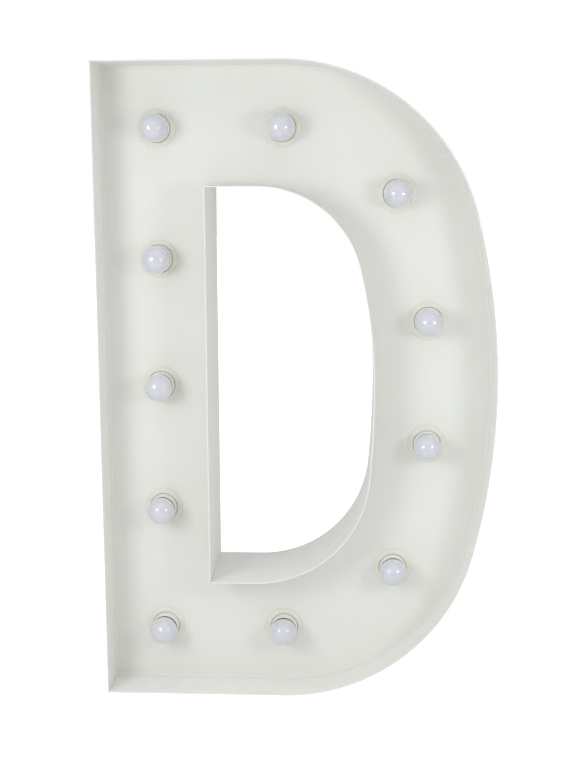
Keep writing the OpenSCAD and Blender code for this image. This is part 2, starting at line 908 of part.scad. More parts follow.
// Welded stud with a locknut, a ring lug and a clamping nut
module earth_stud() {
    color(steel)
        translate([sheet_t - letter_w / 2, stud_depth - letter_d / 2, stud_z])
            rotate([0, 90, 0]) {
                cylinder(r = stud_dia / 2, h = stud_len);
                for (x = [0, stud_nut_h + lug_t + 2 * thread_gap])
                    translate([0, 0, x])
                        difference() {
                            cylinder(r = stud_nut_r, h = stud_nut_h, $fn = 6);
                            translate([0, 0, -eps])
                                cylinder(r = stud_dia / 2 + thread_gap, h = stud_nut_h + 2 * eps);
                        }
                translate([0, 0, stud_nut_h + thread_gap])
                    difference() {
                        cylinder(r = lug_r, h = lug_t);
                        translate([0, 0, -eps])
                            cylinder(r = stud_dia / 2 + thread_gap, h = lug_t + 2 * eps);
                    }
            }
}

// Mains inlet

// Outline of the inlet's socket, with its two upper corners cut
module socket_outline(grow) {
    w = socket_w / 2 + grow;
    h = socket_h / 2 + grow;
    c = socket_chamfer;
    polygon([[-w, -h], [w, -h], [w, h - c], [w - c, h], [c - w, h], [-w, h - c]]);
}

module inlet_prism(front, back) {
    translate([0, back, 0])
        rotate([90, 0, 0])
            linear_extrude(back - front)
                children();
}

module inlet_body() {
    color(black)
        at_place([power_x, inlet_z])
            difference() {
                union() {
                    inlet_prism(inlet_front, cover_back + eps)
                        socket_outline(inlet_wall);
                    block(inlet_flange_w, inlet_flange_h, cover_back, flange_back);
                }
                inlet_prism(socket_floor, flange_back + eps)
                    socket_outline(0);
                for (q = pin_places)
                    translate([q[0], 0, q[1]])
                        block(
                            pin_w + 2 * pin_fit, pin_h + 2 * pin_fit,
                            inlet_front - eps, socket_floor + eps
                        );
                for (s = [-1, 1])
                    translate([s * inlet_screw_pitch / 2, 0, 0])
                        bar(screw_hole_r, cover_back - eps, flange_back + eps);
            }
}

module inlet_pins() {
    color(brass)
        at_place([power_x, inlet_z])
            for (q = pin_places)
                translate([q[0], 0, q[1]])
                    block(pin_w, pin_h, blade_front, socket_floor + pin_len);
}

// Rocker switch

module switch_frame() {
    color(black)
        at_place([power_x, switch_z])
            difference() {
                union() {
                    block(switch_body_w, switch_body_h, switch_front, cover_back + eps);
                    block(
                        switch_body_w + 2 * switch_lip, switch_body_h + 2 * switch_lip,
                        cover_back, flange_back
                    );
                }
                block(switch_room_w, switch_room_h, switch_floor, flange_back + eps);
                translate([0, pivot_depth, 0])
                    rotate([0, 90, 0])
                        cylinder(r = pivot_dia / 2 + pivot_gap, h = switch_body_w + 2 * eps, center = true);
            }
}

module switch_blades() {
    color(brass)
        at_place([power_x, switch_z])
            for (sx = [-1, 1])
                for (sz = [-1, 1])
                    translate([sx * lead_x, 0, sz * switch_blade_z])
                        block(blade_w, blade_h, switch_front - blade_len, switch_front);
}

// The rocker's side view is cut from a disc about its pivot, so its ends clear the frame as it tilts
module switch_rocker() {
    half = rocker_len / 2;
    end_rise = rocker_crown + half * rocker_rise;
    color(black)
        at_place([power_x, switch_z])
            translate([0, pivot_depth, 0])
                rotate([rocker_tilt / 2, 0, 0]) {
                    translate([-rocker_w / 2, 0, 0])
                        rotate([90, 0, 90])
                            linear_extrude(rocker_w)
                                intersection() {
                                    circle(rocker_r);
                                    polygon([
                                        [-rocker_root, -half], [end_rise, -half], [rocker_crown, 0],
                                        [end_rise, half], [-rocker_root, half]
                                    ]);
                                }
                    rotate([0, 90, 0])
                        cylinder(r = pivot_dia / 2, h = rocker_w + 2 * pivot_len, center = true);
                }
}

// Bulbs

// Side view of the globe and its neck, drawn in by inset
module globe_outline(inset) {
    translate([0, globe_depth])
        circle(globe_r - inset);
    polygon([
        [0, globe_depth], [flare_r - inset, flare_depth - inset], [neck_r - inset, neck_depth],
        [neck_end_r - inset, cap_start], [neck_end_r - inset, cap_start + inset],
        [0, cap_start + inset]
    ]);
}

module bulb_globe(i) {
    color(opal)
        at_place(bulbs[i])
            rotate([-90, 0, 0])
                rotate_extrude()
                    intersection() {
                        difference() {
                            globe_outline(0);
                            globe_outline(globe_wall);
                        }
                        translate([0, tip_depth - eps])
                            square([globe_dia, bulb_len]);
                    }
}

// Screw cap with a plug in the neck, ring grooves at the thread's pitch and a tapered end
module bulb_cap(i) {
    plug_r = neck_end_r - globe_wall - inner_gap;
    groove = [for (k = [0:2 * thread_turns - 1])
        [k % 2 == 0 ? thread_r : thread_root_r, thread_start + k * thread_pitch / 2]];
    color(steel)
        at_place(bulbs[i])
            difference() {
                turned(concat(
                    [[0, cap_start - plug_len], [plug_r, cap_start - plug_len], [plug_r, cap_start]],
                    [[thread_r, cap_start]],
                    groove,
                    [[thread_r, insulator_start], [contact_dia / 2, insulator_end], [0, insulator_end]]
                ));
                bar(contact_stem_r + inner_gap, contact_stem_end - inner_gap, insulator_end + eps);
            }
}

module bulb_contact(i) {
    color(brass)
        at_place(bulbs[i])
            turned([
                [0, contact_stem_end],
                [contact_stem_r, contact_stem_end],
                [contact_stem_r, insulator_end + inner_gap],
                [contact_dia / 2, insulator_end + inner_gap],
                [contact_dia / 3, contact_end],
                [0, contact_end]
            ]);
}

stem_return();
bowl_return();
counter_stem_return();
counter_bowl_return();
face_panel();
panel_cleats();
rear_cleats();
rear_cover();
cover_screws();
cover_nuts();
shade_rings();
lampholder_sleeves();
lampholder_cores();
lampholder_shells();
lampholder_tongues();
lampholder_terminals();
lampholder_caps();
loop_cables();
terminal_block();
supply_leads();
earth_stud();
inlet_body();
inlet_pins();
switch_frame();
switch_blades();
switch_rocker();
for (i = [0:last_bulb]) {
    bulb_globe(i);
    bulb_cap(i);
    bulb_contact(i);
}
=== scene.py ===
import json
import math

import bmesh
import bpy
from mathutils import Matrix, Vector


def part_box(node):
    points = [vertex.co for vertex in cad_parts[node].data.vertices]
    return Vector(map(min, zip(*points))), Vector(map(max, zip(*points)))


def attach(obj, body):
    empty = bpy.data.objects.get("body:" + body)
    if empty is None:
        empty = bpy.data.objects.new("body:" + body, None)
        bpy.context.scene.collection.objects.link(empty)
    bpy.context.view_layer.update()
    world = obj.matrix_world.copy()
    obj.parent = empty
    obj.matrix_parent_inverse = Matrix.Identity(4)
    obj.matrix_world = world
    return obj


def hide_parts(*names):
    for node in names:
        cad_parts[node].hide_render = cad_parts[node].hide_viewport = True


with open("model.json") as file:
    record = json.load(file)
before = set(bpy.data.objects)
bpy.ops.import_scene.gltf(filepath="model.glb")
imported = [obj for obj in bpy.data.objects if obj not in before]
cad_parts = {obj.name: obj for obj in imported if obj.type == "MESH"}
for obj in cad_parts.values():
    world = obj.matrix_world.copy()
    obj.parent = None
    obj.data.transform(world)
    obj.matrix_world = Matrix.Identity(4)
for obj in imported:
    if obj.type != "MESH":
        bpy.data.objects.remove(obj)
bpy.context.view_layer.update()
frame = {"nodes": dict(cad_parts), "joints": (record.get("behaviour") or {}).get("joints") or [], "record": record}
NODES = frame["nodes"]
MM = 0.001
QUARTER = math.pi / 2

# Sizes of the letter, as in the part's source
LETTER_W = 0.566
LETTER_H = 0.914
LETTER_D = 0.152
SHEET = 0.0015
SHOULDER_R = 0.283
SIDE_R = 0.958
STEM_W = 0.156
COUNTER_LOW = 0.173
COUNTER_HIGH = 0.742
COUNTER_RIGHT = 0.392
COUNTER_TOP_R = 0.148
COUNTER_BOTTOM_R = 0.166
COUNTER_SIDE_TOP_R = 0.721
COUNTER_SIDE_BOTTOM_R = 1.435
MID_Z = LETTER_H / 2
FRONT_Y = -LETTER_D / 2
BACK_Y = LETTER_D / 2

# The face panel, in millimetres behind the front rim
PANEL_DEPTH = 65.0
PANEL_BACK = PANEL_DEPTH + 3.0

BULBS = sorted(name[:-len("_globe")] for name in NODES if name.endswith("_globe"))


def bulb_axis(bulb):
    """Where a bulb's axis stands on the letter's face."""
    low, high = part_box(bulb + "_globe")
    return (low.x + high.x) / 2, (low.z + high.z) / 2


BULB_PLACES = [bulb_axis(bulb) for bulb in BULBS]


# Scene helpers

def add_object(name, data):
    """A new object in the scene."""
    made = bpy.data.objects.new(name, data)
    bpy.context.scene.collection.objects.link(made)
    return made


def turn_about(axis, degrees):
    """A turn about one of the scene's axes."""
    return Matrix.Rotation(math.radians(degrees), 4, axis)


# Camera, at the photograph's viewing angle: turns in degrees, lens and sensor in millimetres

CAMERA_PLACE = (0.07914, -1.79774, 0.75121)
CAMERA_YAW = 3.2306
CAMERA_PITCH = -9.5287
CAMERA_ROLL = 0.2964
CAMERA_LEVEL = 90
CAMERA_LENS = 57.434
CAMERA_SENSOR = 36.0

camera = add_object("camera", bpy.data.cameras.new("camera"))
camera.data.sensor_width = CAMERA_SENSOR
camera.data.lens = CAMERA_LENS
camera.matrix_world = (
    Matrix.Translation(CAMERA_PLACE)
    @ turn_about("Z", CAMERA_YAW)
    @ turn_about("X", CAMERA_PITCH)
    @ turn_about("Y", CAMERA_ROLL)
    @ turn_about("X", CAMERA_LEVEL)
)
bpy.context.scene.camera = camera


# Shader helpers

WHITE = (1, 1, 1, 1)

# Where a mix node keeps its share, its two colours and their mix
MIX_SHARE, MIX_FIRST, MIX_SECOND, MIX_RESULT = 0, 6, 7, 2


def feed(tree, socket, value):
    """Gives a socket a value, or a link from another socket."""
    if isinstance(value, bpy.types.NodeSocket):
        tree.links.new(value, socket)
    else:
        socket.default_value = value


def add(tree, kind, inputs=(), **fields):
    """Adds a node with its own fields and its named inputs."""
    made = tree.nodes.new(kind)
    for field, value in fields.items():
        setattr(made, field, value)
    for name, value in dict(inputs).items():
        feed(tree, made.inputs[name], value)
    return made


def calc(tree, operation, *values):
    """A sum, product or comparison of values."""
    made = add(tree, "ShaderNodeMath", operation=operation)
    for socket, value in zip(made.inputs, values):
        feed(tree, socket, value)
    return made.outputs[0]


def ramp(tree, value, low, high, to_low=0.0, to_high=1.0):
    """Stretches a value from one range to another, smoothly and without leaving it."""
    inputs = {"Value": value, "From Min": low, "From Max": high, "To Min": to_low, "To Max": to_high}
    return add(tree, "ShaderNodeMapRange", inputs, interpolation_type="SMOOTHSTEP").outputs[0]


def mixed(tree, share, first, second):
    """A colour between two colours."""
    made = add(tree, "ShaderNodeMix", data_type="RGBA")
    feed(tree, made.inputs[MIX_SHARE], share)
    feed(tree, made.inputs[MIX_FIRST], first)
    feed(tree, made.inputs[MIX_SECOND], second)
    return made.outputs[MIX_RESULT]


def object_place(tree):
    """The object's own coordinates."""
    return add(tree, "ShaderNodeTexCoord").outputs["Object"]


def axes(tree, vector):
    """A vector's parts along the three axes."""
    return add(tree, "ShaderNodeSeparateXYZ", {"Vector": vector}).outputs


def noise(tree, scale, detail, stretch=None):
    """Noise over the object's own coordinates, drawn out along an axis where stretch says so."""
    place = object_place(tree)
    if stretch:
        place = add(tree, "ShaderNodeMapping", {"Vector": place, "Scale": stretch}).outputs[0]
    inputs = {"Vector": place, "Scale": scale, "Detail": detail, "Roughness": 0.5}
    return add(tree, "ShaderNodeTexNoise", inputs).outputs[0]


def effect(name, inputs, outputs):
    """A new shader group: its tree, what it reads and what it puts out."""
    tree = bpy.data.node_groups.new(name, "ShaderNodeTree")
    for label in inputs:
        tree.interface.new_socket(label, in_out="INPUT", socket_type="NodeSocketFloat")
    for label in outputs:
        tree.interface.new_socket(label, in_out="OUTPUT", socket_type="NodeSocketFloat")
    reads = tree.nodes.new("NodeGroupInput").outputs
    gives = tree.nodes.new("NodeGroupOutput").inputs
    return tree, reads, gives


def use(tree, group, **values):
    """Places a group in a material with its own values."""
    made = add(tree, "ShaderNodeGroup", node_tree=group)
    for label, value in values.items():
        feed(tree, made.inputs[label], value)
    return made.outputs


# Effects that several finishes share

NIB_FINENESS = 3.7
NIB_HEIGHT = 0.25
LINE_STRETCH = (1.0, 12.0, 1.0)


def make_paint_skin():
    """Sprayed enamel: the orange peel of its surface and the slow clouds of its tone."""
    tree, reads, gives = effect("paint_skin", ["Peel", "Cloud"], ["Height", "Tone"])
    peel = noise(tree, reads["Peel"], detail=1.0)
    nib = noise(tree, calc(tree, "MULTIPLY", reads["Peel"], NIB_FINENESS), detail=1.0)
    feed(tree, gives["Height"], calc(tree, "MULTIPLY_ADD", nib, NIB_HEIGHT, peel))
    feed(tree, gives["Tone"], ramp(tree, noise(tree, reads["Cloud"], detail=4.0), low=0.35, high=0.65))
    return tree


def make_rim_rub():
    """Rubbed paint along the front and back rims, broken up, and scuffs above the underside."""
    tree, reads, gives = effect("rim_rub", ["Width", "Scuff"], ["Rub"])
    place = axes(tree, object_place(tree))

    def fades(distance, reach, low):
        """One close by, and nothing beyond a reach."""
        return calc(tree, "SUBTRACT", 1.0, ramp(tree, calc(tree, "DIVIDE", distance, reach), low, high=1.0))

    from_rim = calc(tree, "SUBTRACT", LETTER_D / 2, calc(tree, "ABSOLUTE", place["Y"]))
    rim = fades(from_rim, reads["Width"], low=0.2)
    foot = fades(place["Z"], reads["Scuff"], low=0.1)
    patchy = ramp(tree, noise(tree, scale=55.0, detail=5.0), low=0.5, high=0.68)
    feed(tree, gives["Rub"], calc(tree, "MULTIPLY", calc(tree, "MAXIMUM", rim, foot), patchy))
    return tree


def make_dust():
    """Fine dust on what faces up, thicker in patches."""
    tree, reads, gives = effect("settled_dust", ["Amount"], ["Dust"])
    up = axes(tree, add(tree, "ShaderNodeNewGeometry").outputs["Normal"])["Z"]
    patchy = ramp(tree, noise(tree, scale=24.0, detail=6.0), low=0.3, high=0.75)
    flat = calc(tree, "MULTIPLY", ramp(tree, up, low=0.2, high=0.95), patchy)
    feed(tree, gives["Dust"], calc(tree, "MULTIPLY", flat, reads["Amount"]))
    return tree


def make_moulding():
    """Moulded plastic: the grain of the tool's surface and the faint marbling of the flow."""
    tree, reads, gives = effect("moulding", ["Grain", "Flow"], ["Height", "Marbling"])
    feed(tree, gives["Height"], noise(tree, reads["Grain"], detail=3.0))
    feed(tree, gives["Marbling"], ramp(tree, noise(tree, reads["Flow"], detail=5.0), low=0.35, high=0.7))
    return tree


def make_drawn_metal():
    """Drawn or rolled metal: fine lines along it, and patches of tarnish or plating."""
    tree, reads, gives = effect("drawn_metal", ["Lines", "Patches"], ["Height", "Tarnish"])
    feed(tree, gives["Height"], noise(tree, reads["Lines"], detail=2.0, stretch=LINE_STRETCH))
    feed(tree, gives["Tarnish"], ramp(tree, noise(tree, reads["Patches"], detail=5.0), low=0.42, high=0.7))
    return tree


PAINT_SKIN = make_paint_skin()
RIM_RUB = make_rim_rub()
DUST = make_dust()
MOULDING = make_moulding()
DRAWN_METAL = make_drawn_metal()


# Finishes

PAINT_DUST = (0.62, 0.6, 0.55, 1.0)
PLASTIC_DUST = (0.6, 0.58, 0.53, 1.0)
PLASTIC_DUST_AMOUNT = 0.25
CLOUD_SCALE = 7.0
RUB_WIDTH = 0.0022
SCUFF_HEIGHT = 0.006
WORN_ROUGHNESS = 0.25


def finish(name, **constants):
    """A new material, its tree and its shader, with the shader's plain values set."""
    material = bpy.data.materials.new(name)
    material.use_nodes = True
    tree = material.node_tree
    shader = tree.nodes["Principled BSDF"]
    for label, value in constants.items():
        shader.inputs[label.replace("_", " ")].default_value = value
    return material, tree, shader


def bump(tree, shader, height, strength, distance):
    """Gives a shader the fine relief of a height."""
    inputs = {"Height": height, "Strength": strength, "Distance": distance}
    feed(tree, shader.inputs["Normal"], add(tree, "ShaderNodeBump", inputs).outputs[0])


def enamel(name, clear, cloudy, rubbed, rough, peel, dust):
    """White enamel on sheet: clouded tone, orange peel, rubbed rims and a little dust."""
    material, tree, shader = finish(name, Specular_IOR_Level=0.22)
    skin = use(tree, PAINT_SKIN, Peel=peel, Cloud=CLOUD_SCALE)
    rub = use(tree, RIM_RUB, Width=RUB_WIDTH, Scuff=SCUFF_HEIGHT)["Rub"]
    settled = use(tree, DUST, Amount=dust)["Dust"]
    colour = mixed(tree, skin["Tone"], clear, cloudy)
    colour = mixed(tree, rub, colour, rubbed)
    colour = mixed(tree, settled, colour, PAINT_DUST)
    feed(tree, shader.inputs["Base Color"], colour)
    worn = calc(tree, "MAXIMUM", rub, settled)
    smooth = ramp(tree, skin["Tone"], 0.0, 1.0, to_low=rough - 0.03, to_high=rough + 0.04)
    feed(tree, shader.inputs["Roughness"], calc(tree, "MULTIPLY_ADD", worn, WORN_ROUGHNESS, smooth))
    bump(tree, shader, skin["Height"], strength=0.12, distance=0.0002)
    return material


def moulded(name, plain, marbled, rough, grain, flow, relief, **constants):
    """Moulded plastic: marbled tone and a fine grain."""
    material, tree, shader = finish(name, **constants)
    body = use(tree, MOULDING, Grain=grain, Flow=flow)
    settled = use(tree, DUST, Amount=PLASTIC_DUST_AMOUNT)["Dust"]
    colour = mixed(tree, body["Marbling"], plain, marbled)
    feed(tree, shader.inputs["Base Color"], mixed(tree, settled, colour, PLASTIC_DUST))
    grainy = ramp(tree, body["Height"], 0.3, 0.7, to_low=rough - 0.05, to_high=rough + 0.07)
    feed(tree, shader.inputs["Roughness"], grainy)
    bump(tree, shader, body["Height"], strength=relief, distance=0.0002)
    return material


def metal(name, bright, dull, rough, lines, patches):
    """Plated or bare metal: drawn lines, and patches where it has dulled."""
    material, tree, shader = finish(name, Metallic=1.0)
    drawn = use(tree, DRAWN_METAL, Lines=lines, Patches=patches)
    feed(tree, shader.inputs["Base Color"], mixed(tree, drawn["Tarnish"], bright, dull))
    dulled = ramp(tree, drawn["Tarnish"], 0.0, 1.0, to_low=rough, to_high=rough + 0.18)
    feed(tree, shader.inputs["Roughness"], dulled)
    bump(tree, shader, drawn["Height"], strength=0.1, distance=0.0001)
    return material


FINISHES = {
    # The walls' white is lighter than the panel's: painted light on the walls and painted shade on the recessed
    # panel, set to match their lit tones.
    "wall_paint": enamel(
        "white_wall_enamel", clear=(0.82, 0.83, 0.80, 1), cloudy=(0.805, 0.815, 0.785, 1),
        rubbed=(0.85, 0.85, 0.83, 1), rough=0.6, peel=900, dust=0.12,
    ),
    "panel_white": enamel(
        "white_panel_enamel", clear=(0.765, 0.775, 0.74, 1), cloudy=(0.75, 0.76, 0.725, 1),
        rubbed=(0.8, 0.8, 0.78, 1), rough=0.58, peel=700, dust=0.1,
    ),
    "cover_white": enamel(
        "white_cover_enamel", clear=(0.79, 0.80, 0.77, 1), cloudy=(0.75, 0.76, 0.73, 1),
        rubbed=(0.7, 0.7, 0.68, 1), rough=0.55, peel=500, dust=0.2,
    ),
    # The ring's cream is darker than the sleeve's: painted shade, for the shadow of the bulbs and walls that falls
    # over the rings.
    "ring_cream": moulded(
        "cream_ring_plastic_painted_shade", plain=(0.735, 0.745, 0.675, 1), marbled=(0.715, 0.725, 0.65, 1),
        rough=0.48, grain=2600, flow=60, relief=0.12,
    ),
    "holder_cream": moulded(
        "cream_holder_plastic", plain=(0.83, 0.83, 0.775, 1), marbled=(0.81, 0.81, 0.745, 1),
        rough=0.36, grain=2600, flow=60, relief=0.1,
    ),
    "core_white": moulded(
        "white_insulator", plain=(0.8, 0.79, 0.75, 1), marbled=(0.74, 0.73, 0.68, 1),
        rough=0.55, grain=3000, flow=90, relief=0.15,
    ),
    "cable_white": moulded(
        "white_cable_sheath", plain=(0.76, 0.76, 0.75, 1), marbled=(0.7, 0.7, 0.69, 1),
        rough=0.5, grain=1500, flow=40, relief=0.15,
    ),
    "lead_black": moulded(
        "black_lead_sheath", plain=(0.03, 0.03, 0.032, 1), marbled=(0.05, 0.05, 0.052, 1),
        rough=0.5, grain=1500, flow=40, relief=0.15,
    ),
    "inlet_black": moulded(
        "black_inlet_plastic", plain=(0.022, 0.022, 0.024, 1), marbled=(0.034, 0.034, 0.036, 1),
        rough=0.5, grain=4200, flow=45, relief=0.3,
    ),
    "rocker_black": moulded(
        "black_rocker_plastic", plain=(0.014, 0.014, 0.015, 1), marbled=(0.022, 0.022, 0.024, 1),
        rough=0.2, grain=2500, flow=60, relief=0.05,
    ),
    "globe_opal": moulded(
        "opal_globe", plain=(0.624, 0.63, 0.682, 1), marbled=(0.61, 0.62, 0.676, 1),
        rough=0.3, grain=1800, flow=45, relief=0.03,
        Subsurface_Weight=1.0, Subsurface_Radius=(1.0, 1.0, 1.0), Subsurface_Scale=0.014,
        Coat_Weight=1.0, Coat_Roughness=0.1, Coat_IOR=1.6,
    ),
    "zinc_plate": metal(
        "zinc_plated_steel", bright=(0.62, 0.63, 0.65, 1), dull=(0.45, 0.45, 0.45, 1),
        rough=0.3, lines=500, patches=160,
    ),
    "contact_brass": metal(
        "contact_brass", bright=(0.72, 0.55, 0.26, 1), dull=(0.52, 0.37, 0.16, 1),
        rough=0.26, lines=600, patches=190,
    ),
    "cap_nickel": metal(
        "nickel_screw_cap", bright=(0.68, 0.66, 0.62, 1), dull=(0.52, 0.49, 0.44, 1),
        rough=0.22, lines=900, patches=220,
    ),
}
# The filler's white lies between the walls' and the panel's, so it carries part of their painted light and shade.
FILLER_WHITE = enamel(
    "white_filler_enamel", clear=(0.738, 0.748, 0.714, 1), cloudy=(0.725, 0.735, 0.7, 1),
    rubbed=(0.76, 0.76, 0.74, 1), rough=0.65, peel=700, dust=0.1,
)
MARK_WHITE = moulded(
    "white_mark_ink", plain=(0.78, 0.78, 0.78, 1), marbled=(0.68, 0.68, 0.68, 1),
    rough=0.5, grain=3000, flow=200, relief=0.1,
)

for row in frame["record"]["subparts"]:
    slots = NODES[row["node"]].data.materials
    slots.clear()
    slots.append(FINISHES[row["material_slot"]])


# Mesh helpers

SHARP = math.radians(38)
CORNER = math.radians(50)
FLAT = math.radians(0.5)
WELD = 1e-6
ORIGIN = (0, 0, 0)
DEPTH_AXIS = (0, 1, 0)


def weld(bm, distance=WELD):
    """Joins the corners of a shape that lie in one place."""
    bmesh.ops.remove_doubles(bm, verts=bm.verts, dist=distance)


def face_outward(bm):
    """Turns the faces of a shape outward."""
    bmesh.ops.recalc_face_normals(bm, faces=bm.faces)


def into_mesh(name, bm, material):
    """A mesh of a finished shape, in one material."""
    mesh = bpy.data.meshes.new(name)
    bm.to_mesh(mesh)
    bm.free()
    mesh.materials.append(material)
    return mesh


def new_piece(name, bm, body, slot, *stands_for, material=None, sharp=SHARP):
    """Welds a shape, makes it an object at the origin and puts it on its body."""
    weld(bm)
    face_outward(bm)
    for face in bm.faces:
        face.smooth = True
    for edge in bm.edges:
        edge.smooth = edge.calc_face_angle(0.0) < sharp
    piece = add_object(name, into_mesh(name, bm, material or FINISHES[slot]))
    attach(piece, body)
    if stands_for:
        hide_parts(*stands_for)


def round_edges(bm, width, segments=2, least=SHARP):
    """Rounds the edges of a shape that turn by more than an angle."""
    edges = [edge for edge in bm.edges if edge.calc_face_angle(0.0) > least]
    bmesh.ops.bevel(
        bm, geom=edges, offset=width, offset_type="OFFSET", segments=segments, profile=0.5,
        affect="EDGES", material=-1, clamp_overlap=True,
    )


def corners_of(geometry):
    """The corners among new geometry."""
    return [item for item in geometry if isinstance(item, bmesh.types.BMVert)]


def first_face(geometry):
    """The first face among new geometry."""
    return next(item for item in geometry if isinstance(item, bmesh.types.BMFace))


def beside_axis(bm, radius, depth):
    """A new corner at a radius from the depth axis and a depth behind the front rim, in millimetres."""
    return bm.verts.new((radius * MM, depth * MM + FRONT_Y, 0.0))


def spin_outline(bm, points, steps, closed=True):
    """Joins points by lines and spins them about the depth axis."""
    ends = points[1:] + points[:1] if closed else points[1:]
    lines = [bm.edges.new(pair) for pair in zip(points, ends)]
    bmesh.ops.spin(
        bm, geom=points + lines, cent=ORIGIN, axis=DEPTH_AXIS, angle=math.tau, steps=steps, use_merge=True,
    )


def turned(profile, steps, closed=True):
    """A shape turned about the depth axis from a profile of radius and depth, in millimetres."""
    bm = bmesh.new()
    spin_outline(bm, [beside_axis(bm, radius, depth) for radius, depth in profile], steps, closed)
    weld(bm)
    face_outward(bm)
    return bm


def repeat(bm, places):
    """Repeats a shape on the depth axis at places on the letter's face."""
    first = bm.verts[:] + bm.edges[:] + bm.faces[:]
    for x, z in places[1:]:
        made = bmesh.ops.duplicate(bm, geom=first)["geom"]
        bmesh.ops.translate(bm, verts=corners_of(made), vec=(x, 0, z))
    x, z = places[0]
    bmesh.ops.translate(bm, verts=corners_of(first), vec=(x, 0, z))
    return bm


def softened(node, width, segments, name, body, slot):
    """Stands for a CAD node with its own shape, its sharp edges rounded."""
    bm = bmesh.new()
    bm.from_mesh(NODES[node].data)
    weld(bm)
    bmesh.ops.dissolve_limit(bm, angle_limit=FLAT, verts=bm.verts, edges=bm.edges)
    round_edges(bm, width, segments, CORNER)
    new_piece(name, bm, body, slot, node)


# Walls: each sheet starts from its end section and follows straight runs and bends

RIM_ROUND = 0.0006
RIM_STEPS = 3
RIM_CREASE = math.radians(10)
SHOULDER_STEPS = 44
SIDE_STEPS = 22

# Each bowl: its low and high edges and its far side, then each half's radii of shoulder and side, and its height
OUTER_BOWL = (0.0, LETTER_H, LETTER_W, (SHOULDER_R, SIDE_R, MID_Z), (SHOULDER_R, SIDE_R, MID_Z))
COUNTER_BOWL = (
    COUNTER_LOW - SHEET, COUNTER_HIGH + SHEET, COUNTER_RIGHT + SHEET,
    (COUNTER_TOP_R + SHEET, COUNTER_SIDE_TOP_R + SHEET, COUNTER_HIGH + SHEET - MID_Z),
    (COUNTER_BOTTOM_R + SHEET, COUNTER_SIDE_BOTTOM_R + SHEET, MID_Z - COUNTER_LOW + SHEET),
)


def bowl_reach(shoulder, side, half):
    """Distance from the start of a shoulder to the far side of a bowl."""
    return side - math.sqrt((side - shoulder) ** 2 - (half - shoulder) ** 2)


def side_angle(shoulder, side, half):
    """Angle of the side's arc from the middle to where the shoulder takes over."""
    return math.asin((half - shoulder) / (side - shoulder))


def on_face(x, z):
    """A place on the letter's face, measured from its left face and its underside."""
    return x - LETTER_W / 2, z


def end_section(bm, x, low, high):
    """The end of a level sheet, as deep as the letter."""
    x, low = on_face(x, low)
    corners = [(x, FRONT_Y, low), (x, BACK_Y, low), (x, BACK_Y, high), (x, FRONT_Y, high)]
    return bm.faces.new([bm.verts.new(corner) for corner in corners])


def run_on(bm, end, along, rise=0.0):
    """Draws an end along the letter's width or up its height. A first end stays as the closed start."""
    goes_on = any(len(edge.link_faces) > 1 for edge in end.edges)
    made = bmesh.ops.extrude_face_region(bm, geom=[end])["geom"]
    bmesh.ops.translate(bm, verts=corners_of(made), vec=(along, 0, rise))
    if goes_on:
        bm.faces.remove(end)
    return first_face(made)


def bend_on(bm, end, x, z, angle, steps):
    """Draws an end round a bend, clockwise seen from the front."""
    x, z = on_face(x, z)
    made = bmesh.ops.spin(
        bm, geom=[end], cent=(x, 0, z), axis=DEPTH_AXIS, angle=angle, steps=steps, use_merge=False,
    )["geom_last"]
    bm.faces.remove(end)
    return first_face(made)


def follow_bowl(bm, end, start_x, bowl):
    """Draws an end along the top, the side and the bottom of a bowl."""
    low, high, right, (top_r, top_side, top_half), (low_r, low_side, low_half) = bowl
    top_x = right - bowl_reach(top_r, top_side, top_half)
    low_x = right - bowl_reach(low_r, low_side, low_half)
    top_turn = side_angle(top_r, top_side, top_half)
    low_turn = side_angle(low_r, low_side, low_half)
    end = run_on(bm, end, top_x - start_x)
    end = bend_on(bm, end, top_x, high - top_r, QUARTER - top_turn, SHOULDER_STEPS)
    end = bend_on(bm, end, right - top_side, MID_Z, top_turn, SIDE_STEPS)
    end = bend_on(bm, end, right - low_side, MID_Z, low_turn, SIDE_STEPS)
    end = bend_on(bm, end, low_x, low + low_r, QUARTER - low_turn, SHOULDER_STEPS)
    return run_on(bm, end, start_x - low_x)


def new_wall(name, bm, node):
    """A wall with rounded rims, in place of its CAD node."""
    round_edges(bm, RIM_ROUND, RIM_STEPS)
    new_piece(name, bm, "case", "wall_paint", node, sharp=RIM_CREASE)


def bent_wall(start_x, bowl, name, node):
    """A wall along the top, the side and the bottom of a bowl."""
    bm = bmesh.new()
    high = bowl[1]
    follow_bowl(bm, end_section(bm, start_x, high - SHEET, high), start_x, bowl)
    face_outward(bm)
    new_wall(name, bm, node)


def straight_wall(x, low, high, name, node):
    """A flat upright wall."""
    bm = bmesh.new()
    bmesh.ops.create_cube(bm, size=1.0)
    bmesh.ops.scale(bm, vec=(SHEET, LETTER_D, high - low), verts=bm.verts)
    middle_x, middle_z = on_face(x + SHEET / 2, (low + high) / 2)
    bmesh.ops.translate(bm, vec=(middle_x, 0, middle_z), verts=bm.verts)
    new_wall(name, bm, node)


straight_wall(0.0, 0.0, LETTER_H, "stem_wall", "stem_return")
straight_wall(
    STEM_W - SHEET, COUNTER_LOW - SHEET, COUNTER_HIGH + SHEET, "counter_straight_wall", "counter_stem_return"
)
bent_wall(SHEET, OUTER_BOWL, "bowl_wall", "bowl_return")
bent_wall(STEM_W, COUNTER_BOWL, "counter_bent_wall", "counter_bowl_return")


# Filler: a hollow bead in the corner between the panel and the walls

BEAD = 0.006
BEAD_SEAT = 0.0002
BEAD_STEPS = 12
LOOP_WELD = 0.00002


def bead_profile():
    """The bead's side view: distances in front of the panel and away from the wall."""
    turns = [QUARTER * k / BEAD_STEPS for k in range(BEAD_STEPS + 1)]
    hollow = [(BEAD - BEAD * math.sin(turn), BEAD - BEAD * math.cos(turn)) for turn in turns]
    return [(BEAD, -BEAD_SEAT)] + hollow + [(-BEAD_SEAT, BEAD), (-BEAD_SEAT, -BEAD_SEAT)]


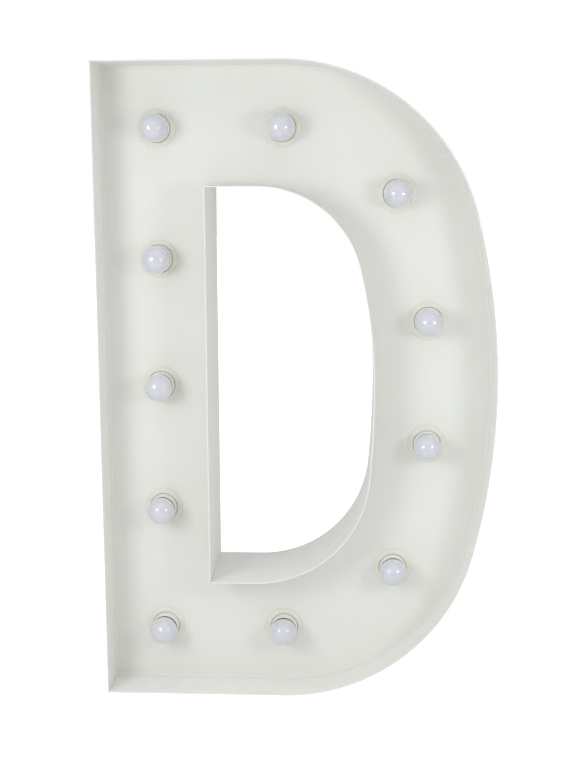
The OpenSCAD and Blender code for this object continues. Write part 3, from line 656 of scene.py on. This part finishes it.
def bead_end(bm, x, z, right, up):
    """The end of a bead at a corner of the face, on the side of its wall that right and up say."""
    x, z = on_face(x, z)
    panel = FRONT_Y + PANEL_DEPTH * MM
    return bm.faces.new([
        bm.verts.new((x + right * away, panel - forward, z + up * away)) for forward, away in bead_profile()
    ])


def make_panel_beads():
    """A bead along the bowl, one up the stem, and a closed one round the counter."""
    bm = bmesh.new()
    follow_bowl(bm, bead_end(bm, SHEET, LETTER_H - SHEET, right=0, up=-1), SHEET, OUTER_BOWL)
    run_on(bm, bead_end(bm, SHEET, SHEET, right=1, up=0), 0.0, LETTER_H - 2 * SHEET)
    left, (low, high) = STEM_W - SHEET, COUNTER_BOWL[:2]
    first = bead_end(bm, left, high, right=0, up=1)
    last = follow_bowl(bm, first, left, COUNTER_BOWL)
    last = bend_on(bm, last, left, low, QUARTER, BEAD_STEPS)
    last = run_on(bm, last, 0.0, high - low)
    last = bend_on(bm, last, left, high, QUARTER, BEAD_STEPS)
    bm.faces.remove(first)
    bm.faces.remove(last)
    weld(bm, LOOP_WELD)
    new_piece("panel_filler", bm, "case", "panel_white", material=FILLER_WHITE)


make_panel_beads()


# Lampholders, in millimetres of radius and of depth behind the front rim

RING_R = 28.0
RING_GRIP_R = RING_R - 0.1
RING_LIP_R = 22.4
RING_LIP_FOOT_R = RING_LIP_R + 0.7
RING_MOUTH_R = 20.6
RING_BORE_R = 20.0
RING_FRONT = PANEL_DEPTH - 3.6
RING_LIP_FOOT = RING_FRONT + 0.9
RING_MOUTH_BACK = RING_FRONT + 1.6
RING_BORE_FRONT = RING_FRONT + 1.8
RING_EDGE_FRONT = PANEL_DEPTH - 1.3
RING_ROUND = 0.25
RING_STEPS = 96
GRIP_STEPS = 4
GRIP_HOLLOW_STEPS = 2
GRIP_SCALE = 0.984

SLEEVE_R = 19.8
SLEEVE_BACK = PANEL_DEPTH + 33.9
SLEEVE_ROUND = 0.15
SLEEVE_STEPS = 72
FLANGE_R = 23.5
FLANGE_BACK = PANEL_BACK + 3.0
MOUTH_R = 15.2
MOUTH_DEPTH = PANEL_DEPTH - 18.5
MOUTH_CHAMFER = 0.3
CUP_R = 18.9
CUP_FLOOR = MOUTH_DEPTH + 13.0
CUP_CHAMFER = 0.2


def make_shade_rings():
    """Screwed rings that hold the sleeves to the panel, with grips round their edge."""
    bm = turned([
        (RING_BORE_R, RING_BORE_FRONT), (RING_MOUTH_R, RING_MOUTH_BACK), (RING_MOUTH_R, RING_FRONT),
        (RING_LIP_R, RING_FRONT), (RING_LIP_FOOT_R, RING_LIP_FOOT), (RING_R, RING_EDGE_FRONT),
        (RING_R, PANEL_DEPTH), (RING_BORE_R, PANEL_DEPTH),
    ], RING_STEPS)
    rim = [vert for vert in bm.verts if math.hypot(vert.co.x, vert.co.z) > RING_GRIP_R * MM]
    step = math.tau / RING_STEPS
    grips = [
        vert for vert in rim
        if round(math.atan2(vert.co.z, vert.co.x) / step) % GRIP_STEPS < GRIP_HOLLOW_STEPS
    ]
    bmesh.ops.scale(bm, vec=(GRIP_SCALE, 1, GRIP_SCALE), verts=grips)
    round_edges(bm, RING_ROUND * MM)
    new_piece("moulded_shade_rings", repeat(bm, BULB_PLACES), "case", "ring_cream", "shade_rings")


def make_sleeves():
    """Lampholder sleeves with a thin cup at the mouth and a flange behind the panel."""
    bm = turned([
        (MOUTH_R, CUP_FLOOR), (CUP_R, CUP_FLOOR),
        (CUP_R, MOUTH_DEPTH + CUP_CHAMFER), (CUP_R + CUP_CHAMFER, MOUTH_DEPTH),
        (SLEEVE_R - MOUTH_CHAMFER, MOUTH_DEPTH), (SLEEVE_R, MOUTH_DEPTH + MOUTH_CHAMFER),
        (SLEEVE_R, PANEL_BACK), (FLANGE_R, PANEL_BACK), (FLANGE_R, FLANGE_BACK), (SLEEVE_R, FLANGE_BACK),
        (SLEEVE_R, SLEEVE_BACK), (MOUTH_R, SLEEVE_BACK),
    ], SLEEVE_STEPS)
    round_edges(bm, SLEEVE_ROUND * MM)
    new_piece("moulded_sleeves", repeat(bm, BULB_PLACES), "case", "holder_cream", "lampholder_sleeves")


make_shade_rings()
make_sleeves()


# Bulbs, in millimetres of radius and of depth behind the front rim, and in degrees from the globe's tip

GLOBE_R = 20.0
GLOBE_DEPTH = PANEL_DEPTH - 28.0
GLOBE_STEPS = 64
DOME_STEPS = 30
SEAM_ANGLE = 112.0
SEAM_HALF_ANGLE = 0.6
SEAM_DEPTH = 0.25
FLARE_ANGLE = 131.4
FLARE_STEPS = 6
NECK_R = 14.0
NECK_DEPTH = PANEL_DEPTH - 12.8
NECK_WAIST = 0.1

CAP_R = 13.1
CAP_DEPTH = PANEL_DEPTH - 1.0
CAP_STEPS = 48
NECK_END_R = CAP_R + 0.3
NECK_END = CAP_DEPTH - 0.6
NECK_SEAT_R = CAP_R + 0.1
PLUG_R = CAP_R - 1.2
PLUG_FRONT = CAP_DEPTH - 3.9
COLLAR_BACK = CAP_DEPTH + 1.2
THREAD_ROOT_R = 12.2
ROOT_FRONT = CAP_DEPTH + 1.9
ROOT_BACK = CAP_DEPTH + 18.6
SKIRT_R = CAP_R - 0.3
SKIRT_DEPTH = CAP_DEPTH + 19.4
TAPER_R = CAP_R - 0.8
TAPER_FRONT = CAP_DEPTH + 20.2
TAPER_END_R = 4.6
TAPER_BACK = CAP_DEPTH + 25.5

THREAD_FRONT = CAP_DEPTH + 2.6
THREAD_PITCH = 3.629
THREAD_TURNS = 4.2
STEPS_PER_TURN = 32

# The thread's ridge: distances along the cap and above the thread's root
THREAD_RIDGE = [(-1.5, -0.4), (-1.2, 0.1), (-0.6, 0.72), (0.0, 0.88), (0.6, 0.72), (1.2, 0.1), (1.5, -0.4)]


def arc(start, end, count):
    """Points on the globe's side view, by their angle from its tip."""
    angles = [math.radians(start + (end - start) * k / count) for k in range(count + 1)]
    return [(GLOBE_R * math.sin(a), GLOBE_DEPTH - GLOBE_R * math.cos(a)) for a in angles]


def make_globe(bulb, place):
    """A frosted dome that joins its neck at a fine seam."""
    seam_r, seam_depth = arc(SEAM_ANGLE, SEAM_ANGLE, 1)[0]
    dome = arc(0, SEAM_ANGLE - SEAM_HALF_ANGLE, DOME_STEPS)
    flare = arc(SEAM_ANGLE + SEAM_HALF_ANGLE, FLARE_ANGLE, FLARE_STEPS)
    flare_r, flare_depth = flare[-1]
    neck = [
        ((flare_r + NECK_R) / 2 - NECK_WAIST, (flare_depth + NECK_DEPTH) / 2), (NECK_R, NECK_DEPTH),
        (NECK_END_R, NECK_END), (NECK_SEAT_R, CAP_DEPTH), (0.0, CAP_DEPTH),
    ]
    bm = turned(dome + [(seam_r - SEAM_DEPTH, seam_depth)] + flare + neck, GLOBE_STEPS, closed=False)
    new_piece(bulb + "_frosted_globe", repeat(bm, [place]), bulb, "globe_opal", bulb + "_globe")


def make_screw_cap(bulb, place):
    """A screw cap with a rolled thread, in front of a tapered insulator."""
    bm = turned([
        (0.0, PLUG_FRONT), (PLUG_R, PLUG_FRONT), (PLUG_R, CAP_DEPTH),
        (CAP_R, CAP_DEPTH), (CAP_R, COLLAR_BACK), (THREAD_ROOT_R, ROOT_FRONT), (THREAD_ROOT_R, ROOT_BACK),
        (SKIRT_R, SKIRT_DEPTH), (TAPER_R, TAPER_FRONT), (TAPER_END_R, TAPER_BACK), (0.0, TAPER_BACK),
    ], CAP_STEPS, closed=False)
    section = bm.faces.new([
        beside_axis(bm, THREAD_ROOT_R + rise, THREAD_FRONT + along) for along, rise in THREAD_RIDGE
    ])
    bmesh.ops.spin(
        bm, geom=[section], cent=ORIGIN, axis=DEPTH_AXIS, angle=math.tau * THREAD_TURNS,
        steps=round(STEPS_PER_TURN * THREAD_TURNS), dvec=(0, THREAD_PITCH * MM / STEPS_PER_TURN, 0),
        use_merge=False,
    )
    new_piece(bulb + "_threaded_cap", repeat(bm, [place]), bulb, "cap_nickel", bulb + "_cap")


for bulb, place in zip(BULBS, BULB_PLACES):
    make_globe(bulb, place)
    make_screw_cap(bulb, place)


# Back of the letter

for node, width, segments, name, body, slot in (
    ("cover_screws", 0.0002, 2, "pan_head_screws", "case", "zinc_plate"),
    ("inlet_body", 0.0005, 3, "inlet_moulding", "case", "inlet_black"),
    ("inlet_pins", 0.0003, 2, "inlet_contact_pins", "case", "contact_brass"),
    ("switch_frame", 0.0004, 3, "switch_bezel", "case", "inlet_black"),
    ("switch_rocker", 0.0005, 3, "rocker_button", "rocker", "rocker_black"),
):
    softened(node, width, segments, name, body, slot)

# The rocker's tilt in degrees, its crown and its marks in millimetres
ROCKER_TILT = 10
ROCKER_CROWN = 2.2
MARK_REACH = 6.5
MARK_BAR = (0.8, 0.3, 4.5)
MARK_RING = [(1.5, -0.15), (2.2, -0.15), (2.2, 0.15), (1.5, 0.15)]
MARK_STEPS = 40


def make_rocker_marks():
    """A bar and a ring inlaid on the rocker's two faces."""
    pivot = next(joint["pos_m"] for joint in frame["joints"] if joint["name"] == "switch_rock")
    crown = Matrix.Translation(pivot) @ turn_about("X", ROCKER_TILT)
    crown = crown @ Matrix.Translation((0, ROCKER_CROWN * MM, 0))
    upper = crown @ turn_about("X", -ROCKER_TILT) @ Matrix.Translation((0, 0, MARK_REACH * MM))
    lower = crown @ turn_about("X", ROCKER_TILT) @ Matrix.Translation((0, 0, -MARK_REACH * MM))
    bm = bmesh.new()
    bar = bmesh.ops.create_cube(bm, size=1.0)["verts"]
    bmesh.ops.scale(bm, vec=[side * MM for side in MARK_BAR], verts=bar)
    bmesh.ops.transform(bm, matrix=upper, verts=bar)
    before = set(bm.verts)
    spin_outline(bm, [bm.verts.new((x * MM, y * MM, 0)) for x, y in MARK_RING], MARK_STEPS)
    ring = [vert for vert in bm.verts if vert not in before]
    bmesh.ops.transform(bm, matrix=lower, verts=ring)
    new_piece("rocker_marks", bm, "rocker", "rocker_black", material=MARK_WHITE)


make_rocker_marks()


# Floor, light and background

FRONT_GLOW = 0.5
FRONT_TOP_GLOW = 0.58
BACK_GLOW = 0.33
BACK_TOP_GLOW = 0.36
FRONT_END = -0.1
BACK_START = 0.3
FLOOR_GLOW = 0.08
FLOOR_LIFT = 0.9
FLOOR_TONES = (0.86, 0.86, 0.86, 1), (0.84, 0.84, 0.84, 1)
FLOOR_REACH = 15.0
FLOOR_CELLS = 8
FLOOR_DROP = 0.0004


def seen_directly(tree):
    """One for rays that come straight from the camera or through a clear piece."""
    path = add(tree, "ShaderNodeLightPath").outputs
    return calc(tree, "MAXIMUM", path["Is Camera Ray"], path["Is Transmission Ray"])


def make_floor():
    """A plain pale floor that keeps the letter's shadow and runs out to white."""
    material, tree, shader = finish("pale_floor", Roughness=0.9, Specular_IOR_Level=0.1, Emission_Color=WHITE)
    tone = ramp(tree, noise(tree, scale=3.0, detail=4.0), low=0.3, high=0.7)
    feed(tree, shader.inputs["Base Color"], mixed(tree, tone, *FLOOR_TONES))
    lift = calc(tree, "MULTIPLY_ADD", seen_directly(tree), FLOOR_LIFT - FLOOR_GLOW, FLOOR_GLOW)
    feed(tree, shader.inputs["Emission Strength"], lift)
    bm = bmesh.new()
    bmesh.ops.create_grid(bm, x_segments=FLOOR_CELLS, y_segments=FLOOR_CELLS, size=FLOOR_REACH)
    bmesh.ops.translate(bm, verts=bm.verts, vec=(0, 0, -FLOOR_DROP))
    floor = add_object("floor", into_mesh("floor", bm, material))


def make_background():
    """Soft studio light from the front and from behind, each with its own glow overhead, seen as white."""
    world = bpy.data.worlds.new("studio")
    bpy.context.scene.world = world
    world.use_nodes = True
    tree = world.node_tree
    sky = tree.nodes["Background"]
    sky.inputs["Color"].default_value = WHITE
    toward = axes(tree, add(tree, "ShaderNodeTexCoord").outputs["Generated"])
    front = ramp(tree, toward["Z"], 0.0, 1.0, FRONT_GLOW, FRONT_GLOW + FRONT_TOP_GLOW)
    back = ramp(tree, toward["Z"], 0.0, 1.0, BACK_GLOW, BACK_GLOW + BACK_TOP_GLOW)
    glow = ramp(tree, toward["Y"], FRONT_END, BACK_START, front, back)
    feed(tree, sky.inputs["Strength"], calc(tree, "MAXIMUM", glow, seen_directly(tree)))


def softbox(name, place, aim, size, power):
    """A round soft light aimed at a point."""
    light = bpy.data.lights.new(name, "AREA")
    light.shape = "DISK"
    light.size = size
    light.energy = power
    turn = (Vector(aim) - Vector(place)).to_track_quat("-Z", "Y")
    add_object(name, light).matrix_world = Matrix.Translation(place) @ turn.to_matrix().to_4x4()


make_floor()
make_background()
softbox("left_softbox", place=(-0.74, -1.08, 0.76), aim=(0.6, -0.4, 0.5), size=0.6, power=5.05)
softbox("right_softbox", place=(0.85, -0.90, 0.68), aim=(0.0, 0.0, 0.46), size=0.36, power=2.35)
bpy.context.scene.view_settings.view_transform = "Standard"
